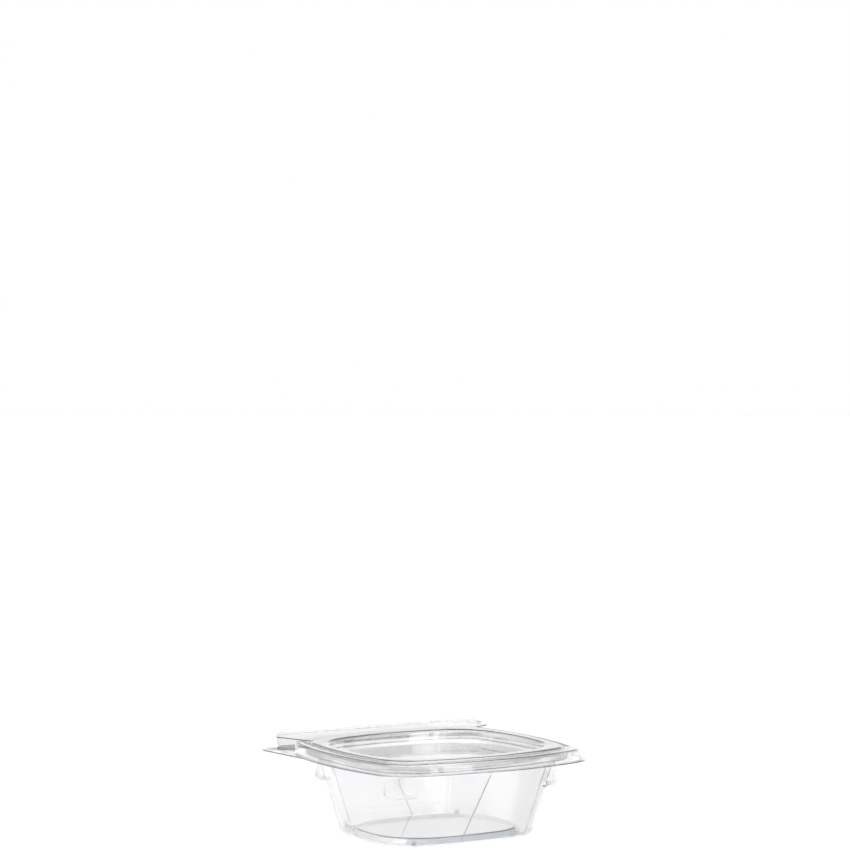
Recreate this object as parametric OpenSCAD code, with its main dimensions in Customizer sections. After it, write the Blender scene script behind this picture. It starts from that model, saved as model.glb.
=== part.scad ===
// Hinged deli container with a flat recessed lid and a tear-off hinge strip, shown shut.
// It is thermoformed from one clear sheet. The origin is the middle of the underside, on the
// surface it stands on. X runs along the hinge, +Y points to the hinge side and +Z up.

/* [Sheet] */
// Thickness of the formed sheet
sheet = 0.45; // [0.3:0.05:0.6]

/* [Plan of the tub] */
// Width across the lip, along the hinge
lip_width = 124.5; // [110:0.5:150]
// Depth across the lip, front to back, without the hinge strip
lip_depth = 123; // [110:0.5:150]
// Width across the underside of the tub
base_width = 86; // [74:0.5:92]
// Depth across the underside of the tub
base_depth = 74; // [66:0.5:84]
// Radius of the gentle outward bulge of all four sides
side_bulge = 165; // [140:1:400]
// Corner radius at the lip
lip_corner = 15; // [12:0.5:24]
// Corner radius at the underside
base_corner = 22; // [16:0.5:26]

/* [Heights of the tub] */
// Top of the bead that guards the edge of the lid
bead_top = 42.2; // [38:0.1:60]
// How far the flange and the ledge lie below the top of the bead
bead_rise = 5.4; // [4.5:0.1:6.5]
// Height of the raised floor over the table
floor_rise = 2.6; // [1.5:0.1:4]
// Height of the flared shoulder between the wall and the ledge
shoulder_rise = 2.6; // [2:0.1:3.5]

/* [Rim of the tub] */
// Width of the flared lip outside the bead
lip_flare = 1.9; // [1.5:0.1:3]
// Width of the guard bead, over its two walls
bead_width = 5.2; // [4.4:0.1:7]
// Width of the ledge that carries the lid
ledge_width = 4.4; // [3.8:0.1:6]

/* [Corner lugs] */
// How far the stacking lugs stand out where they are fullest
lug_out = 4.8; // [1:0.1:5.5]
// Height of the lugs' underside over the table
lug_foot = 24.2; // [14:0.1:25]
// Radius of the lugs' rounded lower edge
lug_round = 2; // [1:0.1:3]
// Share of the corner's bend that a lug takes
lug_share = 0.56; // [0.4:0.02:0.7]

/* [Panel creases] */
// Width of the fine creases in the front and back walls
crease_width = 0.7; // [0.4:0.1:1.2]
// How far the creases stand proud of the wall
crease_proud = 0.3; // [0.15:0.05:0.5]
// Where the front wall's two creases stand at their foot, from the middle
crease_foot = [-9.2, 28.1]; // [-30:0.1:30]
// Where they stand at their top
crease_top = [1.8, 35]; // [-38:0.1:38]

/* [Lid] */
// Gap between the lid's skirt and the guard bead
lid_gap = 0.45; // [0.35:0.05:0.8]
// Gap between the lid and what lies right below it
seat_gap = 0.15; // [0.1:0.05:0.25]
// Width of the raised ring round the lid's recess, over its two walls
ring_width = 6; // [5:0.1:9]
// Depth of the lid's recess
recess_depth = 6.3; // [4:0.1:6.5]
// Corner radius of the recess
recess_corner = 27; // [20:0.5:34]
// Radius of the bulge of the recess's sides
recess_bulge = 108; // [95:1:400]

/* [Hinge and tear strip] */
// Distance from the middle of the tub to the two folds of the hinge
fold_y = 66; // [64:0.5:80]
// Width of the tub's rear flange
flange_width = 127.5; // [116:0.5:132]
// Distance from the middle to the left end of the lid's rear flange
lid_ear_left = 55; // [50:0.5:58]
// Distance from the middle to its right end, beside the pull tab
lid_ear_right = 58.8; // [56:0.1:59.5]
// Corner radius of the two rear flanges
ear_corner = 5; // [2:0.5:8]
// Corner radius of the lid's rear flange beside the pull tab
tab_bend = 20; // [12:0.5:22]
// How far the strip's fold stands out behind the hinge
strip_reach = 9; // [6:0.5:12]
// How far the strip's fold rises over the lid's top
strip_lift = 0; // [0:0.1:2]
// Distance from the middle to the strip's plain end
strip_left = 50.5; // [40:0.5:56]
// Distance from the middle to the strip's end beside the pull tab
strip_right = 41; // [36:0.5:48]
// Corner radius of the strip's rounded ends
strip_corner = 8; // [3:0.5:9]
// How far the pull tab stands out past the end of the lid's flange
tab_width = 4.2; // [3.5:0.1:7]
// How far the pull tab runs forward of the folds
tab_front = 13; // [8:0.5:15]
// Corner radius of the pull tab
tab_corner = 7; // [3:0.5:9]
// How far the pull tab is lifted over the strip
tab_lift = 0.3; // [0.2:0.05:1]
// Clearance that each fold leaves beside the sheet's own thickness
fold_gap = 0.1; // [0.05:0.05:0.3]
// Length of one slot of the perforation
slot_length = 3; // [2:0.5:5]
// Width of the slots
slot_width = 0.8; // [0.5:0.1:1.2]
// Distance from one slot to the next
slot_pitch = 6; // [5:0.5:12]
// Diameter of the raised dot on the pull tab
dot_d = 2; // [1.5:0.1:3]

/* [Hidden] */

SIDE_STEPS = 4;
CORNER_STEPS = 8;

// Levels of the sheet's middle surface, and half widths of the main rings.
flange_z = bead_top - bead_rise + sheet / 2;
crest_z = bead_top - sheet / 2;
shoulder_z = flange_z - shoulder_rise;
base_x = base_width / 2;
lip_x = lip_width / 2;
bead_x = lip_x - lip_flare;
ledge_x = bead_x - bead_width;
wall_x = ledge_x - ledge_width;
lid_z = bead_top + seat_gap + sheet / 2;
skirt_x = ledge_x - sheet - lid_gap;
recess_x = skirt_x - ring_width;
recess_z = lid_z - recess_depth;
fold_end = sheet / 2 + fold_gap;
crest_y = fold_y + strip_reach;
strip_z = lid_z + strip_lift;
tab_z = strip_z + tab_lift;
tab_reach = lid_ear_right + tab_width;
flange_y = lip_depth / 6;

// A value that runs evenly from one ring to another.
function between(x, x0, v0, x1, v1) = v0 + (v1 - v0) * (x - x0) / (x1 - x0);

// Half depth that goes with a half width, so that the plan grows evenly from base to lip.
function half_depth(x) = between(x, base_x, base_depth / 2, lip_x, lip_depth / 2);

// Centre of the corner arc that runs smoothly into both bulged sides of an outline.
function corner_centre(hx, hy, bulge, r) =
    let (
        kx = hx - bulge,
        ky = hy - bulge,
        m = kx / ky,
        q = (ky * ky - kx * kx) / (2 * ky),
        a = 1 + m * m,
        b = 2 * (m * q - kx),
        c = kx * kx + q * q - pow(bulge - r, 2),
        x = (sqrt(b * b - 4 * a * c) - b) / (2 * a)
    )
    [x, m * x + q];

// How far a lug pushes the sheet out, at a share of the corner's bend.
function lug_bump(share) =
    let (u = abs(share - 0.5) * 2 / lug_share)
    u < 1 ? sqrt(1 - u * u) : 0;

// The first quarter of an outline, from the +X side round to the +Y side.
function quarter(hx, hy, bulge, r, lug) =
    let (
        c = corner_centre(hx, hy, bulge, r),
        ax = atan2(c[1], c[0] - hx + bulge),
        ay = atan2(c[0], c[1] - hy + bulge),
        turn = 90 - ax - ay
    )
    concat(
        [for (i = [0:SIDE_STEPS - 1]) let (t = ax * i / SIDE_STEPS)
            [hx - bulge + bulge * cos(t), bulge * sin(t)]],
        [for (i = [0:CORNER_STEPS]) let (t = ax + turn * i / CORNER_STEPS)
            c + r * [cos(t), sin(t)] + lug * lug_bump(i / CORNER_STEPS) * [cos(45), sin(45)]],
        [for (i = [1:SIDE_STEPS]) let (t = 90 - ay + ay * i / SIDE_STEPS)
            [bulge * cos(t), hy - bulge + bulge * sin(t)]]
    );

// A whole outline at height z: the quarter, mirrored round, with each shared point once.
function outline(hx, hy, bulge, r, lug, z) =
    let (
        q = quarter(hx, hy, bulge, r, lug),
        n = len(q)
    )
    concat(
        [for (i = [0:n - 1]) [q[i][0], q[i][1], z]],
        [for (i = [n - 2:-1:0]) [-q[i][0], q[i][1], z]],
        [for (i = [1:n - 1]) [-q[i][0], -q[i][1], z]],
        [for (i = [n - 2:-1:1]) [q[i][0], -q[i][1], z]]
    );

// The normal of a profile at point i, on the sheet's outer face.
function profile_normal(p, i) =
    let (d = p[min(i + 1, len(p) - 1)] - p[max(i - 1, 0)])
    [d[1], -d[0]] / norm(d);

// A closed sheet: rings up its outer face, then back down its inner face.
// Each profile point is [half width, z, bulge, corner, lug] of the sheet's middle surface.
module formed_sheet(profile) {
    path = [for (p = profile) [p[0], p[1]]];
    faces_out = [for (i = [0:len(path) - 1]) [i, sheet / 2]];
    faces_in = [for (i = [len(path) - 1:-1:0]) [i, -sheet / 2]];
    rings = [for (f = concat(faces_out, faces_in))
        let (
            p = profile[f[0]],
            d = f[1] * profile_normal(path, f[0])
        )
        outline(p[0] + d[0], half_depth(p[0]) + d[0], p[2] + d[0], p[3] + d[0], p[4], p[1] + d[1])];
    n = len(rings[0]);
    last = len(rings) - 1;
    walls = [for (k = [0:last - 1], i = [0:n - 1])
        [k * n + i, k * n + n + i, k * n + n + (i + 1) % n, k * n + (i + 1) % n]];
    split = [for (w = walls) each [[w[0], w[1], w[2]], [w[0], w[2], w[3]]]];
    start = [for (i = [0:n - 1]) i];
    end = [for (i = [n - 1:-1:0]) last * n + i];
    polyhedron(points = [for (r = rings) each r], faces = concat(split, [start, end]), convexity = 10);
}

// Corner radius and bulge of the tub at a half width.
function tub_corner(x) = between(x, base_x, base_corner, lip_x, lip_corner);
function tub_ring(x, z, lug = 0) = [x, z, side_bulge, tub_corner(x), lug];

// Half width of the straight wall at height z.
function wall_at(z) = between(z, floor_rise, base_x + 0.3, shoulder_z, wall_x);

// The lugs are fullest over their rounded lower edge and melt away towards the shoulder, while
// the wall leans out. Each is [height, how far it stands out].
lug_rings = [
    [lug_foot - lug_round * 0.3, 0],
    [lug_foot, lug_out * 0.5],
    [lug_foot + lug_round * 0.25, lug_out * 0.75],
    [lug_foot + lug_round * 0.6, lug_out * 0.93],
    [lug_foot + lug_round, lug_out],
    [between(0.5, 0, lug_foot + lug_round, 1, shoulder_z), lug_out * 0.54],
    [shoulder_z, 0]
];

tub_profile = concat(
    [
        tub_ring(base_x - 7.5, floor_rise),
        tub_ring(base_x - 5.8, floor_rise),
        tub_ring(base_x - 4.9, floor_rise * 0.7),
        tub_ring(base_x - 4.4, sheet),
        tub_ring(base_x - 3.6, sheet / 2),
        tub_ring(base_x - 3.1, sheet / 2),
        tub_ring(base_x - 1.8, sheet / 2),
        tub_ring(base_x - 1.3, sheet / 2),
        tub_ring(base_x - 0.4, sheet / 2 + 0.6),
        tub_ring(base_x, sheet / 2 + 1.4)
    ],
    [tub_ring(wall_at(floor_rise + 0.6), floor_rise + 0.6)],
    [for (l = lug_rings) tub_ring(wall_at(l[0]), l[0], l[1])],
    [
        tub_ring(wall_x + 0.5, shoulder_z + shoulder_rise * 0.5),
        tub_ring(wall_x + 1.4, flange_z - 0.3),
        tub_ring(wall_x + 2.2, flange_z),
        tub_ring(ledge_x - 0.4, flange_z),
        tub_ring(ledge_x, flange_z + 0.5),
        tub_ring(ledge_x + 0.3, crest_z - 1.1),
        tub_ring(ledge_x + 0.9, crest_z - 0.3),
        tub_ring(ledge_x + bead_width * 0.45, crest_z),
        tub_ring(bead_x - 1.3, crest_z - 0.2),
        tub_ring(bead_x - 0.5, crest_z - 1),
        tub_ring(bead_x, flange_z + 0.9),
        tub_ring(bead_x + 0.4, flange_z + 0.25),
        tub_ring(lip_x, flange_z)
    ]
);

// One fine crease down a wall, from its foot to the shoulder, on the sheet's outer face.
// foot_x and top_x are where it stands along the front wall at its two ends.
module crease(foot_x, top_x) {
    z0 = sheet / 2 + 1.4;
    z1 = shoulder_z - 0.4;
    deep = sheet * 0.6;
    function wall_y(x, z) =
        let (hy = half_depth(wall_at(z)) + sheet / 2)
        -(hy - side_bulge + sqrt(pow(side_bulge, 2) - x * x));
    function foot(x) = [x, wall_y(x, z0), z0];
    function top(x) = [x, wall_y(x, z1), z1];
    w = crease_width / 2;
    points = [
        foot(foot_x - w) + [0, deep, 0], foot(foot_x) - [0, crease_proud, 0],
        foot(foot_x + w) + [0, deep, 0],
        top(top_x - w) + [0, deep, 0], top(top_x) - [0, crease_proud, 0],
        top(top_x + w) + [0, deep, 0]
    ];
    polyhedron(points, [[0, 2, 1], [3, 4, 5], [0, 1, 4], [0, 4, 3], [1, 2, 5], [1, 5, 4],
        [2, 0, 3], [2, 3, 5]]);
}

// The two creases of the front wall. The back wall has the same pair, turned half round.
module creases() {
    for (i = [0:1]) crease(crease_foot[i], crease_top[i]);
}

// Half width of the lip, which bulges, at a distance y from the middle.
function lip_side(y) = lip_x - side_bulge + sqrt(side_bulge * side_bulge - y * y);

// The plan of the ring that runs at half width x.
module ring_plan(x) {
    polygon([for (p = outline(x, half_depth(x), side_bulge, tub_corner(x), 0, 0)) [p[0], p[1]]]);
}

// A flat flange at height z from the ring at half width x back to the fold, with slanted
// shoulders and rounded rear corners. It leaves the ring at [front_x, front_y] on both sides.
// left and right are [distance of that end from the middle, radius of its rear corner].
module rear_flange(front_x, front_y, left, right, x, z) {
    y1 = fold_y - fold_end;
    translate([0, 0, z - sheet / 2])
    linear_extrude(sheet)
    difference() {
        polygon(concat(
            [[-front_x, front_y], [front_x, front_y]],
            [for (a = [0:7.5:90]) [right[0] - right[1], y1 - right[1]] + right[1] * [cos(a), sin(a)]],
            [for (a = [90:15:180]) [left[1] - left[0], y1 - left[1]] + left[1] * [cos(a), sin(a)]]
        ));
        ring_plan(x);
    }
}

module tub() {
    color([0.93, 0.95, 0.96, 0.35]) {
        formed_sheet(tub_profile);
        creases();
        rotate([0, 0, 180]) creases();
        end = [flange_width / 2, ear_corner];
        rear_flange(lip_side(flange_y), flange_y, end, end, bead_x + 0.4, flange_z);
    }
}

// The lid's rings blend from the recess's own plan to the plan of the guard bead.
function lid_ring(x, z) = [
    x,
    z,
    between(max(x, recess_x), recess_x, recess_bulge, skirt_x, side_bulge),
    between(max(x, recess_x), recess_x, recess_corner, skirt_x, tub_corner(skirt_x)),
    0
];

lid_profile = [
    lid_ring(recess_x - 4, recess_z),
    lid_ring(recess_x - 1, recess_z),
    lid_ring(recess_x - 0.3, recess_z + 0.3),
    lid_ring(recess_x, recess_z + 1),
    lid_ring(recess_x + 0.2, lid_z - 1),
    lid_ring(recess_x + 0.5, lid_z - 0.3),
    lid_ring(recess_x + 1.3, lid_z),
    lid_ring(skirt_x - 1.2, lid_z),
    lid_ring(skirt_x - 0.4, lid_z - 0.3),
    lid_ring(skirt_x - 0.1, lid_z - 1.1),
    lid_ring(skirt_x, flange_z + sheet / 2 + 0.35)
];

module lid() {
    color([0.86, 0.93, 0.97, 0.35]) {
        formed_sheet(lid_profile);
        rear_flange(lid_ear_left - 7.5, half_depth(skirt_x) * 0.8, [lid_ear_left, ear_corner],
            [lid_ear_right, tab_bend], skirt_x - 1.2, lid_z);
    }
}

// The strip's plan: a long bar with two rounded rear corners, over the whole reach of the fold.
module strip_plan() {
    near = fold_y - 0.5;
    far = crest_y + sheet / 2;
    for (x = [strip_corner - strip_left, strip_right - strip_corner])
        translate([x, far - strip_corner])
        circle(r = strip_corner, $fn = 32);
    translate([strip_corner - strip_left, near])
    square([strip_left + strip_right - 2 * strip_corner, far - near]);
    translate([-strip_left, near])
    square([strip_left + strip_right, far - near - strip_corner]);
}

// The pull tab's plan: a plate round the bent corner of the lid's flange, from a neck at the
// strip's end out to its own rounded corners. gap is its clearance to the lid's flange.
module tab_plan() {
    bend = [lid_ear_right - tab_bend, fold_y - fold_end - tab_bend];
    gap = 2 * fold_end;
    front = fold_y - tab_front;
    r = tab_corner;
    start = strip_right + 1.5;
    neck = strip_right - 2 * sheet;
    difference() {
        polygon(concat(
            [for (a = [270:15:360]) [tab_reach - 3, front + 1.5] + 1.5 * [cos(a), sin(a)]],
            [for (a = [0:15:90]) [tab_reach - r, crest_y - r] + r * [cos(a), sin(a)]],
            [for (a = [90:15:180]) [start + r, crest_y - r] + r * [cos(a), sin(a)]],
            [[start, fold_y + 5], [neck, fold_y + 5], [neck, fold_y + fold_end + slot_width + 0.8],
                [start + 4, fold_y + fold_end], [start + 4, front]]
        ));
        translate(bend)
        circle(r = tab_bend + gap, $fn = 96);
        translate([start, front - 1])
        square([bend[0] + tab_bend + gap - start, bend[1] - front + 1]);
    }
}

// The strip's section: a V laid on its side, from the lid's fold out and back to the tub's.
module strip_section() {
    r = 1.1;
    lower = [fold_y, flange_z] + fold_end * [cos(35), sin(35)];
    upper = [fold_y + fold_end, lid_z];
    tip = [crest_y - r, strip_z - r];
    arc = [for (a = [100:-20:-60]) tip + r * [cos(a), sin(a)]];
    path = concat([upper], arc, [lower]);
    n = len(path);
    function left(i) =
        let (d = path[min(i + 1, n - 1)] - path[max(i - 1, 0)])
        [-d[1], d[0]] / norm(d) * sheet / 2;
    outer = [for (i = [0:n - 1]) path[i] + left(i)];
    inner = [for (i = [n - 1:-1:0]) path[i] - left(i)];
    polygon(concat(outer, inner));
}

// A row of slots along one fold, from height z up, which lets the strip tear off.
module perforation(z) {
    for (i = [-floor((strip_left - slot_length) / slot_pitch):floor((strip_right - slot_length) / slot_pitch)])
        translate([i * slot_pitch - slot_length / 2, fold_y + fold_end + 0.4, z])
        cube([slot_length, slot_width, 2.4]);
}

module tear_strip() {
    step = 2 * sheet;
    neck_y = fold_y + fold_end + slot_width + 0.8;
    color([0.8, 0.88, 0.95, 0.45]) {
        difference() {
            intersection() {
                translate([strip_right + 1, 0, 0])
                rotate([90, 0, -90])
                mirror([1, 0, 0])
                linear_extrude(strip_left + strip_right + 2) strip_section();
                translate([0, 0, flange_z - 2]) linear_extrude(strip_z - flange_z + 4) strip_plan();
            }
            perforation(lid_z - 0.8);
            perforation(flange_z - 0.4);
        }
        translate([0, 0, tab_z - sheet / 2]) linear_extrude(sheet) tab_plan();
        translate([strip_right - step, neck_y, strip_z - sheet / 2])
        cube([step, fold_y + 5 - neck_y, tab_lift + sheet]);
        translate([tab_reach - 3.1, fold_y - tab_front + 2.4, tab_z])
        cylinder(d = dot_d, h = sheet / 2 + 0.3, $fn = 32);
    }
}

tub();
lid();
tear_strip();
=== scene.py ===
"""Clear hinged deli container, shut, on a pale studio floor.

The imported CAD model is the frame. The tub, the lid and the tear strip are each modelled again here as
smooth closed sheets of thermoformed plastic, in the place of their CAD nodes, and dressed in a clear
finish. Sizes are in millimetres in the classes and turned to metres when a mesh is made.
"""
import logging
import math
from dataclasses import dataclass
from enum import Enum

import bpy
import numpy as np
from mathutils import Matrix, Vector


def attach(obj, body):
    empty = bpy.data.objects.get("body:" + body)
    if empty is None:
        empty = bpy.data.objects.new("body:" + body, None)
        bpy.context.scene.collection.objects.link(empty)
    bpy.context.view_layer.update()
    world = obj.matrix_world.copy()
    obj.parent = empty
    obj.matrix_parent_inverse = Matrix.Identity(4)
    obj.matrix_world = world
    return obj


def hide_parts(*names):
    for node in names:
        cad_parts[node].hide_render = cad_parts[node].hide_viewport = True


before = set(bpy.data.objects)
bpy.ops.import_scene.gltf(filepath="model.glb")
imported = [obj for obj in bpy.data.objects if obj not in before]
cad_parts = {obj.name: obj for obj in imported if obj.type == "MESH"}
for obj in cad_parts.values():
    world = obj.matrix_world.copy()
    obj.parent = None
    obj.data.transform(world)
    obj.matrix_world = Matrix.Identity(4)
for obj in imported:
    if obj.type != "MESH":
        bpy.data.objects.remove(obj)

LOG = logging.getLogger("deli_container")
MM = 0.001
SHARP_EDGE = 40.0


class Wall(Enum):
    """The walls with creases. The value turns the front wall's lines half round for the back wall."""

    FRONT = 1
    BACK = -1


# Shapes: outlines, sections and grids


@dataclass(frozen=True)
class Plan:
    """A rounded square whose four sides bulge gently outwards.

    Every field may be one number or an array with one value per ring.
    """

    half_x: np.ndarray
    half_y: np.ndarray
    bulge: np.ndarray
    corner: np.ndarray
    side_steps: int = 14
    corner_steps: int = 36

    def corner_centre(self) -> tuple[np.ndarray, np.ndarray]:
        """Centre of the corner arc that is tangent inside both bulged sides.

        It lies at bulge - corner from the centres of both side arcs, (half_x - bulge, 0) and
        (0, half_y - bulge), so it is a root of a quadratic along the line of equal distance.

        Returns:
            The X and the Y of the centre, one value per ring.
        """
        kx = self.half_x - self.bulge
        ky = self.half_y - self.bulge
        slope = kx / ky
        offset = (ky**2 - kx**2) / (2 * ky)
        a = 1 + slope**2
        b = 2 * (slope * offset - kx)
        c = kx**2 + offset**2 - (self.bulge - self.corner) ** 2
        x = (np.sqrt(b * b - 4 * a * c) - b) / (2 * a)
        return x, slope * x + offset

    def points(self) -> tuple[np.ndarray, np.ndarray]:
        """The outline of every ring: side arc, corner arc, side arc, mirrored into four quarters.

        Returns:
            An array of rings by columns by (X, Y), and the share of the corner's bend at each column,
            which is -1 on the sides.
        """
        hx, hy, bulge, r = (np.atleast_1d(v).astype(float)[:, None] for v in (
            self.half_x, self.half_y, self.bulge, self.corner))
        cx, cy = (v[:, None] for v in Plan(hx[:, 0], hy[:, 0], bulge[:, 0], r[:, 0]).corner_centre())
        end_x = np.arctan2(cy, cx - hx + bulge)
        end_y = np.arctan2(cx, cy - hy + bulge)
        side = np.arange(self.side_steps) / self.side_steps
        bend = np.linspace(0, 1, self.corner_steps + 1)
        t = end_x * side
        first = np.stack([hx - bulge + bulge * np.cos(t), bulge * np.sin(t)], axis=-1)
        t = end_x + (math.pi / 2 - end_x - end_y) * bend
        middle = np.stack([cx + r * np.cos(t), cy + r * np.sin(t)], axis=-1)
        t = math.pi / 2 - end_y * side[::-1]
        last = np.stack([bulge * np.cos(t), hy - bulge + bulge * np.sin(t)], axis=-1)
        quarter = np.concatenate([first, middle, last], axis=1)
        none = np.full(self.side_steps, -1.0)
        share = np.concatenate([none, bend, none])
        back = quarter[:, ::-1]
        parts = [quarter, back[:, 1:] * (-1, 1), quarter[:, 1:] * (-1, -1), back[:, 1:-1] * (1, -1)]
        shares = [share, share[::-1][1:], share[1:], share[::-1][1:-1]]
        return np.concatenate(parts, axis=1), np.concatenate(shares)


def filleted(points: np.ndarray, radii: np.ndarray, steps: int = 5) -> np.ndarray:
    """Rounds the bends of a path: each inner point becomes an arc tangent to both its legs.

    The arc starts radius * tan(turn / 2) before the point, and is found by swinging the leg's own
    direction through the turn.

    Args:
        points: The path, an array of points by (x, z).
        radii: The radius at each point; the first and last are not used.
        steps: Points on each arc, less one.

    Returns:
        The rounded path, an array of points by (x, z).
    """
    legs = np.diff(points, axis=0)
    legs /= np.linalg.norm(legs, axis=1, keepdims=True)
    before, after = legs[:-1], legs[1:]
    cross = before[:, 0] * after[:, 1] - before[:, 1] * after[:, 0]
    turn = np.arctan2(cross, (before * after).sum(axis=1))
    radius = radii[1:-1]
    start = points[1:-1] - before * (radius * np.tan(np.abs(turn) / 2))[:, None]
    side = np.stack([-before[:, 1], before[:, 0]], axis=1) * np.sign(turn)[:, None]
    share = np.linspace(0, 1, steps + 1)
    angle = np.abs(turn)[:, None] * share
    arc = (start[:, None] + before[:, None] * (radius[:, None] * np.sin(angle))[..., None]
           + side[:, None] * (radius[:, None] * (1 - np.cos(angle)))[..., None])
    return np.concatenate([points[:1], arc.reshape(-1, 2), points[-1:]])


def with_levels(path: np.ndarray, levels: np.ndarray) -> np.ndarray:
    """Adds points on a rising stretch of a path at given heights, by straight interpolation.

    Args:
        path: Points by (x, z), whose heights rise over the stretch that the levels fall in.
        levels: Heights to add.

    Returns:
        The path with the added points, in order.
    """
    spot = np.searchsorted(path[:, 1], levels)
    low, high = path[spot - 1], path[spot]
    share = (levels - low[:, 1]) / (high[:, 1] - low[:, 1])
    return np.insert(path, spot, low + (high - low) * share[:, None], axis=0)


def path_normals(path: np.ndarray) -> np.ndarray:
    """The unit normals to the right of a path.

    Args:
        path: Points by (x, z).

    Returns:
        The normal at each point, from the legs beside it.
    """
    ahead = np.gradient(path, axis=0)
    ahead /= np.linalg.norm(ahead, axis=1, keepdims=True)
    return np.stack([ahead[:, 1], -ahead[:, 0]], axis=1)


def arc_length(line: np.ndarray) -> np.ndarray:
    """The share of a line's length at each of its points, from 0 to 1."""
    run = np.concatenate([[0], np.cumsum(np.linalg.norm(np.diff(line, axis=0), axis=1))])
    return run / run[-1]


def at_share(line: np.ndarray, where: np.ndarray) -> np.ndarray:
    """The points of a line at given shares of its length.

    Args:
        line: Points by (X, Y).
        where: Shares from 0 to 1.

    Returns:
        An array of points by (X, Y).
    """
    share = arc_length(line)
    return np.stack([np.interp(where, share, line[:, 0]), np.interp(where, share, line[:, 1])], axis=1)


def corner_arc(centre: tuple[float, float], radius: float, start: float, end: float,
               steps: int = 12) -> np.ndarray:
    """Points on an arc.

    Args:
        centre: Its centre by (X, Y).
        radius: Its radius.
        start: The angle of its first point, in degrees.
        end: The angle of its last point.
        steps: Points on it, less one.

    Returns:
        An array of points by (X, Y).
    """
    turn = np.radians(np.linspace(start, end, steps + 1))
    return np.stack([centre[0] + radius * np.cos(turn), centre[1] + radius * np.sin(turn)], axis=1)


def grid_faces(rows: int, columns: int, first: int = 0) -> np.ndarray:
    """The faces of a grid that closes on itself along its columns.

    Args:
        rows: Number of rings.
        columns: Points in each ring.
        first: Index of the grid's first point.

    Returns:
        An array of faces by four point indices.
    """
    row, column = np.meshgrid(np.arange(rows - 1), np.arange(columns), indexing="ij")
    here = first + row * columns + column
    beside = first + row * columns + (column + 1) % columns
    return np.stack([here, beside, beside + columns, here + columns], axis=-1).reshape(-1, 4)


def mesh_object(name: str, points: np.ndarray, faces: list, material: bpy.types.Material,
                painted_shade: np.ndarray | None = None) -> bpy.types.Object:
    """Makes one mesh object at the origin, smooth but for edges sharper than SHARP_EDGE degrees.

    Args:
        name: The piece's name.
        points: An array of points by (X, Y, Z), in millimetres.
        faces: Lists of point indices.
        material: The finish of every face.
        painted_shade: How much painted grey shade each point gets, from 0 to 1.

    Returns:
        The object, linked to the scene.
    """
    mesh = bpy.data.meshes.new(name)
    mesh.from_pydata((points * MM).tolist(), [], [list(f) for f in faces])
    mesh.polygons.foreach_set("use_smooth", np.ones(len(mesh.polygons), bool))
    mesh.set_sharp_from_angle(angle=math.radians(SHARP_EDGE))
    mesh.materials.append(material)
    if painted_shade is not None:
        mesh.attributes.new("painted_shade", "FLOAT", "POINT").data.foreach_set("value", painted_shade.astype(np.float32))
    mesh.update()
    piece = bpy.data.objects.new(name, mesh)
    bpy.context.scene.collection.objects.link(piece)
    return piece


def closed_shell(rings: np.ndarray) -> tuple[np.ndarray, list]:
    """A closed skin over rings, with a flat fan on the first and the last ring.

    Smaller rings between each fan's rim and its middle keep the faces short.

    Args:
        rings: An array of rings by columns by (X, Y, Z), which run round to the left as the rings rise
            on the outer face. The first and the last ring are flat and convex.

    Returns:
        The points and the faces.
    """
    inwards = np.array([0.03, 0.25, 0.5, 0.75])[:, None, None]
    low, high = (rings[i].mean(axis=0) for i in (0, -1))
    first, last = low + (rings[0] - low) * inwards, high + (rings[-1] - high) * inwards[::-1]
    rings = np.concatenate([first, rings, last])
    count, columns = rings.shape[:2]
    here = np.arange(columns)
    beside = (here + 1) % columns
    top = (count - 1) * columns
    low_fan = np.stack([np.full(columns, count * columns), beside, here], axis=1)
    high_fan = np.stack([np.full(columns, count * columns + 1), top + here, top + beside], axis=1)
    points = np.concatenate([rings.reshape(-1, 3), [low, high]])
    return points, grid_faces(count, columns).tolist() + low_fan.tolist() + high_fan.tolist()


def sheet_shell(sections: np.ndarray) -> tuple[np.ndarray, list]:
    """A closed skin over equal sections of a thin sheet, with quads across its two ends.

    Args:
        sections: An array of sections by points by (X, Y, Z). Each section runs along one face of the
            sheet and back along the other, with as many points on both.

    Returns:
        The points and the faces.
    """
    count, columns = sections.shape[:2]
    i = np.arange(columns // 2 - 1)
    end = np.stack([i, columns - 1 - i, columns - 2 - i, i + 1], axis=1)
    faces = np.concatenate([grid_faces(count, columns), end, end[:, ::-1] + (count - 1) * columns])
    return sections.reshape(-1, 3), faces.tolist()


# Finishes


def linear(colour: str) -> tuple[float, float, float, float]:
    """Turns an sRGB colour to a linear one.

    Args:
        colour: The colour in hex, such as #FFFFFF.

    Returns:
        Its linear red, green, blue and alpha.
    """
    srgb = np.array([int(colour[i:i + 2], 16) for i in (1, 3, 5)]) / 255
    rgb = np.where(srgb <= 0.04045, srgb / 12.92, ((srgb + 0.055) / 1.055) ** 2.4)
    return (*rgb.tolist(), 1.0)


def add_node(tree: bpy.types.NodeTree, kind: str, settings: dict, links: dict) -> bpy.types.Node:
    """Adds a node to a tree, sets its values and links its inputs.

    Args:
        tree: The node tree.
        kind: Blender's name of the node type.
        settings: Input name or number to its value, or attribute name to its value.
        links: Input name or number to the output socket that feeds it.

    Returns:
        The node.
    """
    node = tree.nodes.new(kind)
    for name, value in settings.items():
        if isinstance(name, str) and name not in node.inputs:
            setattr(node, name, value)
        else:
            node.inputs[name].default_value = value
    for name, socket in links.items():
        tree.links.new(socket, node.inputs[name])
    return node


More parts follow.
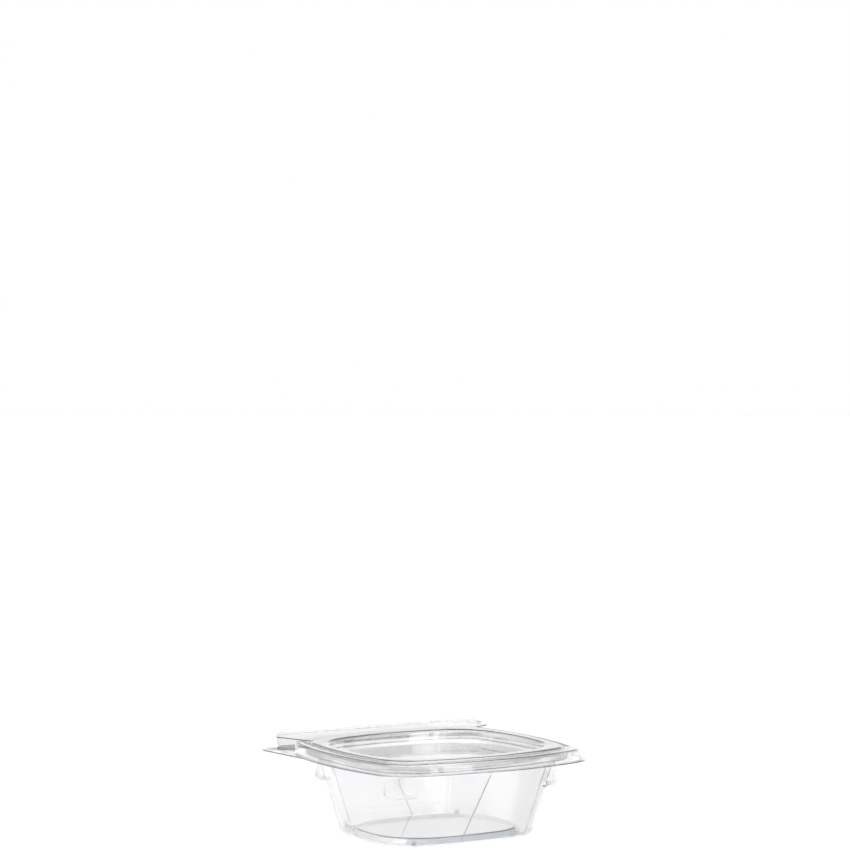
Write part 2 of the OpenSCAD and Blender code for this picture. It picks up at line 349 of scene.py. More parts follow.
@dataclass(frozen=True)
class ClearSheetFinish:
    """Clear PET, thermoformed: glossy, colourless, with grey shade painted in where a wall is seen edge-on.

    PET's IOR is 1.57. The bluish grey lines along every rim and bend are painted shade: the colour
    turns grey where a wall is seen edge-on, in place of the dark reflections and refraction there,
    as clear PET itself hardly darkens. A mesh attribute paints the same grey shade into the step
    round the raised floor and along the creases. The forming leaves the surface a little uneven, so
    reflections waver over 10 to 20 mm, and the mould's skin shows as a very fine tooth.
    """

    name: str
    face_on: str = "#F9F8F8"
    edge_shade: str = "#8A949C"
    edge_power: float = 14.0
    ior: float = 1.57
    roughness: float = 0.006
    waver_mm: float = 14.0
    waver_depth: float = 0.02
    tooth_mm: float = 0.8
    tooth_depth: float = 0.004
    let_through: str = "#FDFDFD"

    def material(self) -> bpy.types.Material:
        """Builds the material: a glass-like shader that lets shadow and diffuse rays straight through.

        Returns:
            The material.
        """
        made = bpy.data.materials.new(self.name)
        made.use_nodes = True
        tree = made.node_tree
        tree.nodes.clear()
        place = add_node(tree, "ShaderNodeTexCoord", {}, {}).outputs["Object"]
        waver = add_node(tree, "ShaderNodeTexNoise", {
            "Scale": 1 / (self.waver_mm * MM), "Detail": 1.0}, {"Vector": place})
        tooth = add_node(tree, "ShaderNodeTexNoise", {
            "Scale": 1 / (self.tooth_mm * MM), "Detail": 2.0}, {"Vector": place})
        wavy = add_node(tree, "ShaderNodeBump", {
            "Strength": 1.0, "Distance": self.waver_depth * MM}, {"Height": waver.outputs["Fac"]})
        bumpy = add_node(tree, "ShaderNodeBump", {
            "Strength": 1.0, "Distance": self.tooth_depth * MM},
            {"Height": tooth.outputs["Fac"], "Normal": wavy.outputs["Normal"]})
        # Painted shade: the sheet's colour turns bluish grey as a face is seen more edge-on, on the faces
        # that a ray enters.
        facing = add_node(tree, "ShaderNodeLayerWeight", {"Blend": 0.5}, {})
        steep = add_node(tree, "ShaderNodeMath", {"operation": "POWER", 1: self.edge_power},
                         {0: facing.outputs["Facing"]})
        side = add_node(tree, "ShaderNodeNewGeometry", {}, {}).outputs["Backfacing"]
        entering = add_node(tree, "ShaderNodeMath", {"operation": "SUBTRACT", 0: 1.0}, {1: side})
        # Painted shade set on the mesh, in the step and the creases, joins the painted edge-on shade.
        shade_mark = add_node(tree, "ShaderNodeAttribute", {"attribute_name": "painted_shade"}, {}).outputs["Fac"]
        shade_share = add_node(tree, "ShaderNodeMath", {"operation": "MAXIMUM"}, {0: steep.outputs[0], 1: shade_mark})
        edge = add_node(tree, "ShaderNodeMath", {"operation": "MULTIPLY"}, {
            0: shade_share.outputs[0], 1: entering.outputs[0]})
        tint = add_node(tree, "ShaderNodeMix", {
            "data_type": "RGBA", 6: linear(self.face_on), 7: linear(self.edge_shade)},
            {0: edge.outputs[0]})
        sheet = add_node(tree, "ShaderNodeBsdfPrincipled", {
            "Roughness": self.roughness, "IOR": self.ior, "Transmission Weight": 1.0},
            {"Base Color": tint.outputs[2], "Normal": bumpy.outputs["Normal"]})
        see_through = add_node(tree, "ShaderNodeBsdfTransparent", {"Color": linear(self.let_through)}, {})
        rays = add_node(tree, "ShaderNodeLightPath", {}, {})
        soft = add_node(tree, "ShaderNodeMixShader", {}, {
            0: rays.outputs["Is Diffuse Ray"], 1: sheet.outputs[0], 2: see_through.outputs[0]})
        both = add_node(tree, "ShaderNodeMixShader", {}, {
            0: rays.outputs["Is Shadow Ray"], 1: soft.outputs[0], 2: see_through.outputs[0]})
        add_node(tree, "ShaderNodeOutputMaterial", {}, {"Surface": both.outputs[0]})
        return made


@dataclass(frozen=True)
class WhiteCardFinish:
    """White card, matt: the studio's seamless floor."""

    name: str = "white_card_floor"
    colour: str = "#FBFBFB"
    roughness: float = 0.9
    specular: float = 0.1

    def material(self) -> bpy.types.Material:
        """Builds the material.

        Returns:
            The material.
        """
        made = bpy.data.materials.new(self.name)
        made.use_nodes = True
        shader = made.node_tree.nodes["Principled BSDF"]
        shader.inputs["Base Color"].default_value = linear(self.colour)
        shader.inputs["Roughness"].default_value = self.roughness
        shader.inputs["Specular IOR Level"].default_value = self.specular
        return made


# The tub, the lid and the strip


@dataclass
class FormedSheet:
    """What the tub and the lid share: one sheet, carried round the plan of the container."""

    sheet: float = 0.45
    lip_x: float = 62.25
    lip_y: float = 61.5
    base_x: float = 43.0
    base_y: float = 37.0
    side_bulge: float = 165.0
    lip_corner: float = 15.0
    base_corner: float = 22.0
    bead_top: float = 42.2
    flange_z: float = 37.025
    bead_x: float = 60.35
    ledge_x: float = 55.15
    fold_y: float = 66.0
    fold_end: float = 0.325

    def half_y(self, x: np.ndarray) -> np.ndarray:
        """Half depth that goes with a half width: both grow evenly from the base to the lip."""
        return self.base_y + (self.lip_y - self.base_y) * (x - self.base_x) / (self.lip_x - self.base_x)

    def corner(self, x: np.ndarray) -> np.ndarray:
        """Corner radius at a half width, evenly from the base's to the lip's."""
        return self.base_corner + (self.lip_corner - self.base_corner) * (
            x - self.base_x) / (self.lip_x - self.base_x)

    def plan(self, x: np.ndarray, off: np.ndarray) -> Plan:
        """The container's outlines.

        Args:
            x: The half width of each ring.
            off: How far each ring is pushed out of it.

        Returns:
            The outlines of all the rings.
        """
        bulge = np.full_like(x, self.side_bulge)
        return Plan(x + off, self.half_y(x) + off, bulge + off, self.corner(x) + off)

    def rings(self, path: np.ndarray) -> tuple[np.ndarray, np.ndarray, np.ndarray]:
        """Carries a section round the plan, up the outer face of the sheet and back down the inner.

        Each face is the path moved half a thickness along its normal.

        Args:
            path: The sheet's middle surface, points by (half width, z).

        Returns:
            Rings by columns by (X, Y, Z), the corner share of each column, and the height of the
            middle surface at each ring.
        """
        normal = path_normals(path)
        both = np.concatenate([path, path[::-1]])
        off = np.concatenate([normal, -normal[::-1]]) * self.sheet / 2
        outline, share = self.plan(both[:, 0], off[:, 0]).points()
        z = np.broadcast_to((both[:, 1] + off[:, 1])[:, None, None], (*outline.shape[:2], 1))
        return np.concatenate([outline, z], axis=2), share, both[:, 1]


@dataclass
class Tub(FormedSheet):
    """The tub: foot, raised floor, tapered walls, lugs, shoulder, ledge, guard bead, lip and flange."""

    floor_rise: float = 2.6
    panel_run: float = 2.3
    step_run: float = 1.0
    foot_inset: float = 4.2
    base_inset: float = 0.2
    wall_inset: float = 4.4
    wall_levels: tuple[float, float, int] = (4.0, 22.0, 7)
    shoulder_rise: float = 2.6
    shoulder_run: float = 1.6
    bead_run_in: float = 0.4
    bead_run_out: float = 0.6
    bead_foot: float = 0.3
    lug_out: float = 4.8
    lug_foot: float = 24.2
    lug_round: float = 2.0
    lug_start: float = 0.3
    lug_share: float = 0.72
    lug_soft: float = 0.8
    lug_fall: float = 0.9
    lug_levels: tuple[float, ...] = (
        -0.62, -0.58, -0.5, -0.36, -0.18, 0.05, 0.35, 0.7, 1.1, 1.55, 2.0, 2.6, 3.4, 4.5, 6.0, 7.5, 8.8)
    flange_x: float = 63.75
    flange_start: float = 20.5
    ear_corner: float = 8.0
    crease_width: float = 0.7
    crease_proud: float = 0.3
    crease_clear: tuple[float, float] = (1.4, 0.3)
    crease_blunt: int = 16
    creases: tuple[tuple[float, float], ...] = ((-9.2, 1.8), (28.1, 35.0))
    # How much painted grey shade the creases and the step get.
    crease_shade: float = 0.5
    step_shade: float = 0.9
    step_inset: float = 3.4
    step_depth: float = 9.0
    step_side: float = 10.0
    step_clear: tuple[float, float] = (0.1, 0.05)
    finish: ClearSheetFinish = ClearSheetFinish("clear_PET_thermoformed_tub")

    @property
    def wall_x(self) -> float:
        """Half width at the top of the straight wall."""
        return self.ledge_x - self.wall_inset

    @property
    def shoulder_z(self) -> float:
        """Height at which the wall starts to flare into the shoulder."""
        return self.flange_z - self.shoulder_rise

    def section(self) -> np.ndarray:
        """The tub's section.

        Each bend has its half width, its height and its radius. They go over the raised floor, down
        its step, across the foot, up the wall, round the shoulder, along the ledge, over the guard
        bead and out to the lip.

        Returns:
            The middle surface from the floor to the lip, with every bend rounded, points by
            (half width, z).
        """
        base, top, rim = self.base_x, self.bead_top - self.sheet / 2, self.flange_z
        foot, half = base - self.foot_inset, self.sheet / 2
        bends = np.array([
            (foot - self.step_run - self.panel_run, self.floor_rise, 0),
            (foot - self.step_run, self.floor_rise, 0.8),
            (foot, half, 0.5),
            (base - self.base_inset, half, 1.3),
            (self.wall_x, self.shoulder_z, 1.5),
            (self.wall_x + self.shoulder_run, rim, 1.2),
            (self.ledge_x, rim, 0.4),
            (self.ledge_x + self.bead_run_in, top, 1.3),
            (self.bead_x - self.bead_run_out, top, 1.5),
            (self.bead_x, rim + self.bead_foot, 0.45),
            (self.lip_x, rim, 0),
        ])
        path = filleted(bends[:, :2], bends[:, 2])
        # The wall gets rings at even heights, and close ones where the lugs start to swell.
        levels = np.concatenate([np.linspace(*self.wall_levels), self.lug_foot + np.array(self.lug_levels)])
        wall = max(np.argmax(np.diff(path[:, 1]) > 0), np.argmax(path[:, 1] > self.floor_rise + 1) - 1)
        rest = path[wall:]
        stop = np.argmax(np.diff(rest[:, 1]) <= 0) or len(rest)
        return np.concatenate([path[:wall], with_levels(rest[:stop], levels), rest[stop:]])

    def lug(self, share: np.ndarray, z: np.ndarray) -> np.ndarray:
        """How far the lugs push the sheet out.

        The lower part is a quarter of an ellipsoid over the share of the corner. From the height
        where it is full it falls nearly evenly to the shoulder, and its sides grow softer.

        Args:
            share: Share of the corner's bend at each column, -1 on the sides.
            z: Height of the middle surface at each ring.

        Returns:
            An array of rings by columns, in millimetres.
        """
        full = self.lug_foot + self.lug_round
        start = self.lug_foot - self.lug_start * self.lug_round
        aside = (np.abs(share - 0.5) * 2 / self.lug_share)[None] ** 2
        below = 1 - np.clip((z - start) / (full - start), 0, 1)[:, None]
        above = np.clip((z - full) / (self.shoulder_z - full), 0, 1)[:, None]
        dome = np.clip(1 - aside - below**2, 0, None) ** (0.5 + self.lug_soft * above)
        return self.lug_out * dome * (1 - above) ** self.lug_fall

    def with_flange(self, rings: np.ndarray, rim: np.ndarray) -> np.ndarray:
        """Stretches the lip's last ring back to the flange, which runs straight to the fold.

        At the back, each column of the lip goes to the point at the same share of the flange's
        boundary: along one side, round an ear, along the fold, round the other ear and back.

        Args:
            rings: Rings by columns by (X, Y, Z).
            rim: Indices of the rings at the lip's edge.

        Returns:
            The rings, changed at the rim.
        """
        x, y = rings[rim[0], :, 0], rings[rim[0], :, 1]
        columns = np.nonzero(y > self.flange_start)[0]
        columns = columns[np.argsort(-x[columns])]
        edge, r = self.fold_y - self.fold_end, self.ear_corner
        turn = np.linspace(0, math.pi / 2, 9)
        ear = np.stack([self.flange_x - r + r * np.cos(turn), edge - r + r * np.sin(turn)], axis=1)
        right = np.concatenate([[[x[columns[0]], y[columns[0]]]], ear])
        line = np.concatenate([right, right[::-1] * (-1, 1)])
        where = arc_length(np.stack([x[columns], y[columns]], axis=1))
        for ring in rim:
            rings[ring, columns, :2] = at_share(line, where)
        return rings

    def crease(self, foot_x: float, top_x: float, wall: Wall, material: bpy.types.Material,
               name: str) -> bpy.types.Object:
        """One fine crease: a low half-round ridge, straight up the wall's outer face.

        Args:
            foot_x: Where it stands along the front wall at its foot.
            top_x: Where it stands along the front wall at its top.
            wall: The wall that it runs up.
            material: Its finish.
            name: The piece's name.

        Returns:
            The object.
        """
        climb = np.linspace(0, 1, 60)
        low, high = self.sheet / 2 + self.crease_clear[0], self.shoulder_z - self.crease_clear[1]
        z = low + (high - low) * climb
        x = foot_x + (top_x - foot_x) * climb
        half_x = self.base_x + (self.wall_x - self.base_x) * z / self.shoulder_z
        y = -(self.half_y(half_x) - self.side_bulge + np.sqrt(self.side_bulge**2 - x**2)) - self.sheet / 2
        across = np.linspace(0, 2 * math.pi, 16, endpoint=False)
        taper = np.sqrt(np.clip(1 - (2 * climb - 1) ** self.crease_blunt, 0.02, 1))[:, None]
        out = np.where(np.sin(across) > 0, self.crease_proud, self.sheet / 2) * np.sin(across)
        points = np.stack([
            x[:, None] + self.crease_width / 2 * np.cos(across) * taper,
            y[:, None] - out * taper,
            np.broadcast_to(z[:, None], (len(z), len(across))),
        ], axis=-1)
        points[..., :2] *= wall.value
        skin, faces = closed_shell(points[:, ::-1])
        # The crease carries painted grey shade, in place of the dark line that refraction draws along it.
        return mesh_object(name, skin, faces, material, np.full(len(skin), self.crease_shade))

    def step(self, points: np.ndarray) -> np.ndarray:
        """Painted grey shade in the step round the raised floor, along the front and the back.

        Args:
            points: The shell's points by (X, Y, Z).

        Returns:
            The painted shade at each point, which is 0 away from the step.
        """
        x, y, z = np.abs(points).T
        inside = self.half_y(np.array(self.base_x - self.step_inset))
        below, above = self.step_clear
        low = (z > self.sheet / 2 + below) & (z < self.floor_rise + self.sheet / 2 - above)
        along = (y < inside) & (y > inside - self.step_depth) & (x < self.base_x - self.step_side)
        return self.step_shade * (low & along)

    def build(self) -> list[bpy.types.Object]:
        """Makes the tub's shell and creases and puts them on the tub's body.

        Returns:
            The pieces.
        """
        material = self.finish.material()
        path = self.section()
        rings, share, z = self.rings(path)
        # The lugs swell along the corners' diagonals.
        push = self.lug(share, z) * math.sqrt(0.5)
        rings[..., 0] += push * np.sign(rings[..., 0])
        rings[..., 1] += push * np.sign(rings[..., 1])
        last = len(path) - 1
        rings = self.with_flange(rings, np.array([last, last + 1]))
        points, faces = closed_shell(rings)
        # The tub's shell carries painted grey shade in the step round its raised floor.
        shell = mesh_object("tub_shell", points, faces, material, self.step(points))
        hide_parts("tub")
        pieces = [shell]
        for wall in Wall:
            for number, (foot_x, top_x) in enumerate(self.creases, start=1):
                name = f"tub_crease_{wall.name.lower()}_{number}"
                pieces.append(self.crease(foot_x, top_x, wall, material, name))
        for piece in pieces:
            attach(piece, "tub")
        return pieces


@dataclass
class Lid(FormedSheet):
    """The lid: flat recess, ring, skirt inside the guard bead, and the flange over it to the fold."""

    seat_gap: float = 0.15
    lid_gap: float = 0.45
    ring_width: float = 6.0
    skirt_run: float = 0.2
    skirt_lift: float = 0.35
    recess_depth: float = 6.3
    recess_run: float = 0.3
    recess_floor: float = 8.0
    recess_corner: float = 27.0
    recess_bulge: float = 108.0
    ear_left: float = 55.0
    ear_right: float = 58.8
    ear_corner: float = 5.0
    tab_bend: float = 20.0
    flange_front: tuple[float, float] = (47.5, 41.0)
    flange_root: float = 1.5
    flange_thinner: float = 0.01
    finish: ClearSheetFinish = ClearSheetFinish("clear_PET_thermoformed_lid")

    @property
    def lid_z(self) -> float:
        """Height of the middle surface of the lid's top."""
        return self.bead_top + self.seat_gap + self.sheet / 2

    @property
    def skirt_x(self) -> float:
        """Half width of the skirt."""
        return self.ledge_x - self.sheet - self.lid_gap

    @property
    def recess_x(self) -> float:
        """Half width of the recess's wall."""
        return self.skirt_x - self.ring_width

    def plan(self, x: np.ndarray, off: np.ndarray) -> Plan:
        """The lid's outlines, which blend from the recess's own plan to the plan of the guard bead.

        Args:
            x: The half width of each ring.
            off: How far each ring is pushed out of it.

        Returns:
            The outlines of all the rings.
        """
        share = np.clip((x - self.recess_x) / (self.skirt_x - self.recess_x), 0, 1)
        bulge = self.recess_bulge + (self.side_bulge - self.recess_bulge) * share
        corner = self.recess_corner + (self.corner(self.skirt_x) - self.recess_corner) * share
        return Plan(x + off, self.half_y(x) + off, bulge + off, corner + off)

    def section(self) -> np.ndarray:
        """The lid's section: over the recess's floor, up its wall, over the ring and down the skirt.

        Each bend has its half width, its height and its radius.

        Returns:
            The middle surface with every bend rounded, points by (half width, z).
        """
        top, floor = self.lid_z, self.lid_z - self.recess_depth
        bends = np.array([
            (self.recess_x - self.recess_floor, floor, 0),
            (self.recess_x, floor, 0.9),
            (self.recess_x + self.recess_run, top, 1.0),
            (self.skirt_x - self.skirt_run, top, 1.2),
            (self.skirt_x, self.flange_z + self.sheet / 2 + self.skirt_lift, 0),
        ])
        return filleted(bends[:, :2], bends[:, 2])

    def flange(self, material: bpy.types.Material) -> bpy.types.Object:
        """The flat flange from the ring's back to the fold: a ruled plate between two lines.

        The inner line follows the ring's flat top. The outer one runs out to the plain ear, along the
        fold, and round the large bend beside the pull tab.

        Args:
            material: Its finish.

        Returns:
            The object.
        """
        ring_x = np.array([self.skirt_x - self.flange_root])
        ring = self.plan(ring_x, np.zeros(1)).points()[0][0]
        rear = ring[ring[:, 1] > self.flange_front[1] - 1]
        inner = rear[np.argsort(-rear[:, 0], kind="stable")]
        edge = self.fold_y - self.fold_end
        right = corner_arc((self.ear_right - self.tab_bend, edge - self.tab_bend), self.tab_bend, 0, 90, 24)
        r = self.ear_corner
        left = corner_arc((r - self.ear_left, edge - r), r, 90, 180)
        front = np.array([self.flange_front])
        outer = np.concatenate([front, right, left, front * (-1, 1)])
        where = np.linspace(0, 1, 161)
        flat = ruled(at_share(inner, where), at_share(outer, where), 9)
        # A hair thinner than the sheet on both sides, so that its faces don't coincide with the ring's.
        half = self.sheet / 2 - self.flange_thinner
        return plate("lid_flange", level(flat, self.lid_z + half), 2 * half, material)

    def build(self) -> list[bpy.types.Object]:
        """Makes the lid's shell and flange and puts them on the lid's body.

        Returns:
            The pieces.
        """
        material = self.finish.material()
        rings, _, _ = self.rings(self.section())
        points, faces = closed_shell(rings)
        shell = mesh_object("lid_shell", points, faces, material)
        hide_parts("lid")
        pieces = [shell, self.flange(material)]
        for piece in pieces:
            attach(piece, "lid")
        return pieces


def ruled(inner: np.ndarray, outer: np.ndarray, rows: int) -> np.ndarray:
    """A grid of points on the straight lines between two lines of as many points.

    Args:
        inner: The line of the first row, points by (X, Y).
        outer: The line of the last row.
        rows: Number of rows.

    Returns:
        An array of rows by columns by (X, Y).
    """
    t = np.linspace(0, 1, rows)[:, None, None]
    return inner * (1 - t) + outer * t


def level(flat: np.ndarray, z: float) -> np.ndarray:
    """Lays a flat grid of (X, Y) at height z."""
    return np.concatenate([flat, np.full((*flat.shape[:2], 1), z)], axis=2)


def plate(name: str, top: np.ndarray, thickness: float, material: bpy.types.Material) -> bpy.types.Object:
    """A closed flat plate: a grid, the same grid below it, and the rim between them.

    Args:
        name: The piece's name.
        top: The upper face, rows by columns by (X, Y, Z), whose rows run outwards while its columns
            run round to the left.
        thickness: The plate's thickness.
        material: Its finish.

    Returns:
        The object.
    """
    rows, columns = top.shape[:2]
    count = rows * columns
    index = np.arange(count).reshape(rows, columns)
    quads = np.stack([index[:-1, :-1], index[1:, :-1], index[1:, 1:], index[:-1, 1:]], axis=-1)
    quads = quads.reshape(-1, 4)
    rim = np.concatenate([index[:-1, 0], index[-1, :-1], index[:0:-1, -1], index[0, :0:-1]])
    ahead = np.roll(rim, -1)
    walls = np.stack([ahead, rim, rim + count, ahead + count], axis=1)
    points = np.concatenate([top.reshape(-1, 3), top.reshape(-1, 3) - (0, 0, thickness)])
    faces = np.concatenate([quads, quads[:, ::-1] + count, walls]).tolist()
    return mesh_object(name, points, faces, material)


@dataclass
class TearStrip(FormedSheet):
    """The tear strip: a V on its side between the two folds, with slots, and its pull tab."""

    reach: float = 9.0
    left: float = 50.5
    right: float = 41.0
    end_corner: float = 8.0
    tip_radius: float = 1.1
    lid_z: float = 42.575
    slot_length: float = 3.0
    slot_depth: float = 0.8
    slot_pitch: float = 6.0
    slot_margins: tuple[float, float] = (10.0, 3.0)
    ear_right: float = 58.8
    tab_bend: float = 20.0
    tab_reach: float = 63.0
    tab_front: float = 13.0
    tab_corner: float = 7.0
    tab_lift: float = 0.3
    tab_start: float = 1.5
    tab_tip: float = 3.0
    neck_run: float = 4.0
    neck_edges: tuple[float, float] = (1.6, 5.0)
    dot_width: float = 2.0
    dot_rise: float = 0.28
    dot_inset: tuple[float, float] = (3.1, 2.4)
    # The strip's painted edge-on shade is a paler grey.
    finish: ClearSheetFinish = ClearSheetFinish("clear_PET_thermoformed_strip", edge_shade="#CDD3D7")

    @property
    def crest_y(self) -> float:
        """How far back the strip's own fold stands."""
        return self.fold_y + self.reach

    def section(self) -> np.ndarray:
        """The strip's section.

        Returns:
            The middle surface from the lid's fold out to the strip's own fold and back to the tub's,
            points by (y, z).
        """
        r = self.tip_radius
        tip = corner_arc((self.crest_y - r, self.lid_z - r), r, 100, -60, 16)
        upper = np.array([self.fold_y + self.fold_end, self.lid_z])
        lower = np.array([self.fold_y, self.flange_z]) + self.fold_end * np.array([0.82, 0.57])
        share = np.linspace(0, 1, 9)[:, None]
        out, back = upper + (tip[0] - upper) * share[:-1], tip[-1] + (lower - tip[-1]) * share[1:]
        return np.concatenate([out, tip, back])

    def tab(self, material: bpy.types.Material) -> bpy.types.Object:
        """The pull tab: a plate round the bent corner of the lid's flange, from its neck on the strip.

        Args:
            material: Its finish.

        Returns:
            The object.
        """
        start, neck = self.right + self.tab_start, self.right - 2 * self.sheet
        gap = 2 * self.fold_end
        bend = (self.ear_right - self.tab_bend, self.fold_y - self.fold_end - self.tab_bend)
        front = self.fold_y - self.tab_front
        r, out = self.tab_corner, self.tab_bend + gap
        low = math.degrees(math.asin((front - bend[1]) / out))
        high = math.degrees(math.acos((start + self.neck_run - bend[0]) / out))
        edge, (near, far) = self.fold_y + self.fold_end, self.neck_edges
        tip = self.tab_tip / 2
        inner = np.concatenate([
            corner_arc(bend, out, low, high, 24),
            [[start + self.neck_run, edge], [neck, edge + near]]])
        outer = np.concatenate([
            corner_arc((self.tab_reach - self.tab_tip, front + tip), tip, 270, 360),
            corner_arc((self.tab_reach - r, self.crest_y - r), r, 0, 90),
            corner_arc((start + r, self.crest_y - r), r, 90, 180),
            [[start, self.fold_y + far], [neck, self.fold_y + far]]])
        where = np.linspace(0, 1, 121)
        flat = ruled(at_share(inner, where), at_share(outer, where), 6)
        top = self.lid_z + self.tab_lift + self.sheet / 2
        return plate("tear_strip_tab", level(flat, top), self.sheet, material)

    def dot(self, material: bpy.types.Material) -> bpy.types.Object:
        """The raised dot on the tab: a low dome that starts inside the tab's sheet.

        Args:
            material: Its finish.

        Returns:
            The object.
        """
        turn = np.linspace(0, 2 * math.pi, 32, endpoint=False)
        rise = np.radians(np.linspace(0, 84, 8))
        radius = np.concatenate([[self.dot_width / 2], self.dot_width / 2 * np.cos(rise)])
        height = np.concatenate([[-self.sheet * 0.6], self.dot_rise * np.sin(rise)])
        centre = (self.tab_reach - self.dot_inset[0], self.fold_y - self.tab_front + self.dot_inset[1])
        top = self.lid_z + self.tab_lift + self.sheet / 2
        rings = np.stack([
            centre[0] + np.outer(radius, np.cos(turn)),
            centre[1] + np.outer(radius, np.sin(turn)),
            np.broadcast_to((top + height)[:, None], (len(height), len(turn))),
        ], axis=-1)
        points, faces = closed_shell(rings)
        return mesh_object("tear_strip_dot", points, faces, material)

    def build(self) -> list[bpy.types.Object]:
        """Makes the strip, its tab and its dot and puts them on the strip's body.

        Returns:
            The pieces.
        """
        material = self.finish.material()
        path = self.section()
        normal = path_normals(path)
        along = np.linspace(0, 1, 561)
        far = self.crest_y + self.sheet / 2
        loop = np.concatenate([path - normal * self.sheet / 2, (path + normal * self.sheet / 2)[::-1]])
        past = np.clip((loop[:, 0] - far + self.end_corner) / self.end_corner, 0, 1)
        inset = (self.end_corner * (1 - np.sqrt(1 - past**2)))[:, None]
        x = (inset - self.left) * (1 - along) + (self.right - inset) * along
        y = np.broadcast_to(loop[:, :1], x.shape).copy()
        z = np.broadcast_to(loop[:, 1:], x.shape)
        # At both roots, the stretches inside a slot stand back from the fold.
        root = np.isin(np.arange(len(loop)), [0, len(path) - 1, len(path), len(loop) - 1])
        phase = np.abs((x + self.slot_pitch / 2) % self.slot_pitch - self.slot_pitch / 2)
        first, last = self.slot_margins[0] - self.left, self.right - self.slot_margins[1]
        notch = (phase < self.slot_length / 2) & (x > first) & (x < last)
        y += np.where(root[:, None] & notch, self.slot_depth, 0)
        rings = np.stack([x, y, z], axis=-1).transpose(1, 0, 2)
        points, faces = sheet_shell(rings[:, ::-1])
        strip = mesh_object("tear_strip_sheet", points, faces, material)
        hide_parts("tear_strip")
        pieces = [strip, self.tab(material), self.dot(material)]
        for piece in pieces:
            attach(piece, "strip")
        return pieces


# The studio


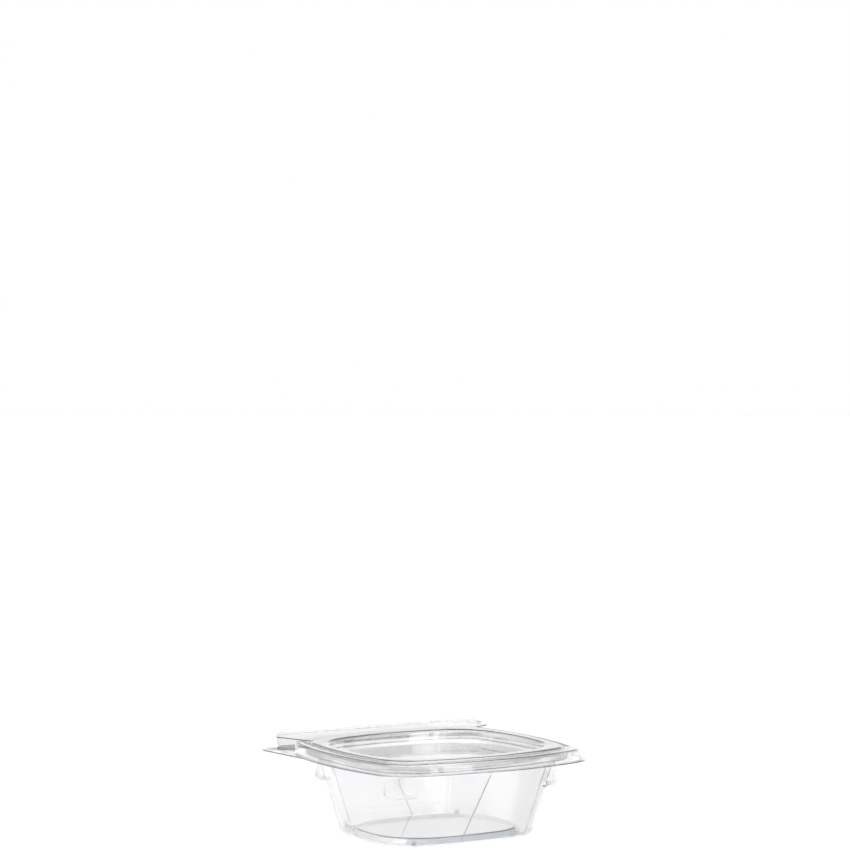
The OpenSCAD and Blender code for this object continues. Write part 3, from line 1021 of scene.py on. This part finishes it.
@dataclass
class Studio:
    """The floor, the soft lights and the camera at the photograph's viewing angle.

    A stop of the surround is the Z of a direction and its light. A card has its azimuth, elevation
    and half angle in degrees, and card_edge the shares of that angle over which it fades. A window
    has its name, azimuth and width. The focal length and the frame's side are in pixels.
    """

    target_z: float = 24.0
    distance: float = 1318.83
    azimuth: float = -31.66
    elevation: float = 8.752
    axis_azimuth: float = -31.421
    axis_tilt: float = 1.195
    focal_px: float = 2690.0
    frame_px: float = 850.0
    floor_radius: float = 12000.0
    floor_sides: int = 96
    floor_gap: float = 0.03
    floor_finish: WhiteCardFinish = WhiteCardFinish()
    surround: tuple[tuple[float, tuple[float, float, float]], ...] = (
        (0.0, (1.0, 1.0, 1.0)), (0.2, (1.0, 1.0, 1.0)), (0.28, (0.1, 0.13, 0.15)),
        (0.8, (0.1, 0.13, 0.15)), (0.84, (3.05, 3.05, 3.05)), (1.0, (3.05, 3.05, 3.05)))
    cards: tuple[tuple[float, float, float], ...] = ((-162.0, 6.0, 15.0), (61.0, 6.0, 8.0))
    card_edge: tuple[float, float] = (1.15, 0.9)
    card_colour: str = "#3C464C"
    windows: tuple[tuple[str, float, float], ...] = (
        ("window_light", 15.5, 320.0), ("frame_light_1", 6.5, 83.0),
        ("frame_light_2", -1.5, 20.0), ("frame_light_3", -7.0, 60.0))
    window_away: float = 1700.0
    window_elevation: float = 20.0
    window_height: float = 720.0
    window_radiance: float = 2.2
    clear_bounces: int = 40
    gloss_bounces: int = 16

    def floor(self) -> bpy.types.Object:
        """A plain pale disc, far larger than the view, so that its edge never shows.

        Returns:
            The disc.
        """
        turn = np.linspace(0, 2 * math.pi, self.floor_sides + 1)[:-1]
        drop = np.full_like(turn, -self.floor_gap / self.floor_radius)
        ring = np.stack([np.cos(turn), np.sin(turn), drop], axis=1)
        disc = mesh_object("floor", ring * self.floor_radius, [list(range(self.floor_sides))],
                           self.floor_finish.material())
        return disc

    def world(self) -> None:
        """A studio round the container: a white wall up to eye height, grey above, a bright ceiling.

        The clear bends gather the grey as dark lines, and the ceiling lights the floor. Two dark
        cards stand behind and beside the container, and draw the edges that would be lost in white.
        """
        world = bpy.data.worlds.new("studio_surround")
        world.use_nodes = True
        bpy.context.scene.world = world
        tree = world.node_tree
        way = add_node(tree, "ShaderNodeTexCoord", {}, {}).outputs["Generated"]
        up = add_node(tree, "ShaderNodeSeparateXYZ", {}, {0: way}).outputs["Z"]
        ramp = add_node(tree, "ShaderNodeValToRGB", {}, {"Fac": up})
        stops = ramp.color_ramp.elements
        for place in self.surround[2:]:
            stops.new(place[0])
        for stop, (place, light) in zip(stops, self.surround):
            stop.position = place
            stop.color = (*light, 1)
        light = ramp.outputs["Color"]
        for azimuth, elevation, wide in self.cards:
            turn, rise = math.radians(azimuth), math.radians(elevation)
            towards = (math.sin(turn) * math.cos(rise), -math.cos(turn) * math.cos(rise), math.sin(rise))
            near = add_node(tree, "ShaderNodeVectorMath", {"operation": "DOT_PRODUCT", 1: towards}, {0: way})
            outer, inner = (math.cos(math.radians(wide * edge)) for edge in self.card_edge)
            inside = add_node(tree, "ShaderNodeMapRange", {1: outer, 2: inner}, {0: near.outputs["Value"]})
            card = add_node(tree, "ShaderNodeMix", {"data_type": "RGBA", 7: linear(self.card_colour)}, {
                0: inside.outputs[0], 6: light})
            light = card.outputs[2]
        back = tree.nodes["Background"]
        tree.links.new(light, back.inputs["Color"])

    def lamp(self, name: str, place: tuple[float, ...], size: tuple[float, float],
             power: float) -> bpy.types.Object:
        """A soft rectangular lamp that faces the container.

        Args:
            name: The lamp's name.
            place: Its place, in millimetres.
            size: Its width and height, in millimetres.
            power: Its power in watts.

        Returns:
            The lamp.
        """
        light = bpy.data.lights.new(name, "AREA")
        light.shape = "RECTANGLE"
        light.size, light.size_y = (v * MM for v in size)
        light.energy = power
        lamp = bpy.data.objects.new(name, light)
        bpy.context.scene.collection.objects.link(lamp)
        at = Vector(place) * MM
        aim = Vector((0, 0, self.target_z * MM)) - at
        lamp.matrix_world = Matrix.Translation(at) @ aim.to_track_quat("-Z", "Y").to_matrix().to_4x4()
        return lamp

    def camera(self) -> bpy.types.Object:
        """The camera: placed by its bearing from the target, and tilted along its own axis.

        Returns:
            The camera.
        """
        azimuth, elevation = math.radians(self.azimuth), math.radians(self.elevation)
        back = Vector((math.sin(azimuth) * math.cos(elevation), -math.cos(azimuth) * math.cos(elevation),
                       math.sin(elevation)))
        place = (Vector((0, 0, self.target_z)) + back * self.distance) * MM
        lens = bpy.data.cameras.new("camera")
        lens.sensor_width = 36.0
        lens.lens = self.focal_px / self.frame_px * lens.sensor_width
        lens.clip_start, lens.clip_end = 0.01, 100
        camera = bpy.data.objects.new("camera", lens)
        bpy.context.scene.collection.objects.link(camera)
        turn = Matrix.Rotation(math.radians(self.axis_azimuth), 4, "Z")
        tilt = Matrix.Rotation(math.radians(90 - self.axis_tilt), 4, "X")
        camera.matrix_world = Matrix.Translation(place) @ turn @ tilt
        bpy.context.scene.camera = camera
        return camera

    def build(self) -> None:
        """Sets up the floor, surround, lamps, camera and the depth of light through clear walls."""
        scene = bpy.context.scene
        scene.view_settings.view_transform = "Standard"
        scene.cycles.max_bounces = self.clear_bounces
        scene.cycles.transmission_bounces = self.clear_bounces
        scene.cycles.transparent_max_bounces = self.clear_bounces
        scene.cycles.glossy_bounces = self.gloss_bounces
        self.floor()
        self.world()
        up = math.radians(self.window_elevation)
        for name, azimuth, width in self.windows:
            turn = math.radians(azimuth)
            place = self.window_away * np.array([
                math.sin(turn) * math.cos(up), -math.cos(turn) * math.cos(up), math.sin(up)])
            area = width * self.window_height * MM**2
            self.lamp(name, tuple(place), (width, self.window_height), self.window_radiance * math.pi * area)
        self.camera()


def main() -> None:
    """Builds the container's pieces in order, then the studio, and reports each piece."""
    logging.basicConfig(level=logging.INFO, format="%(name)s: %(message)s")
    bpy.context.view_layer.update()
    for part in (Tub(), Lid(), TearStrip()):
        for piece in part.build():
            LOG.info("%s: %d faces", piece.name, len(piece.data.polygons))
    Studio().build()


if __name__ == "__main__":
    main()
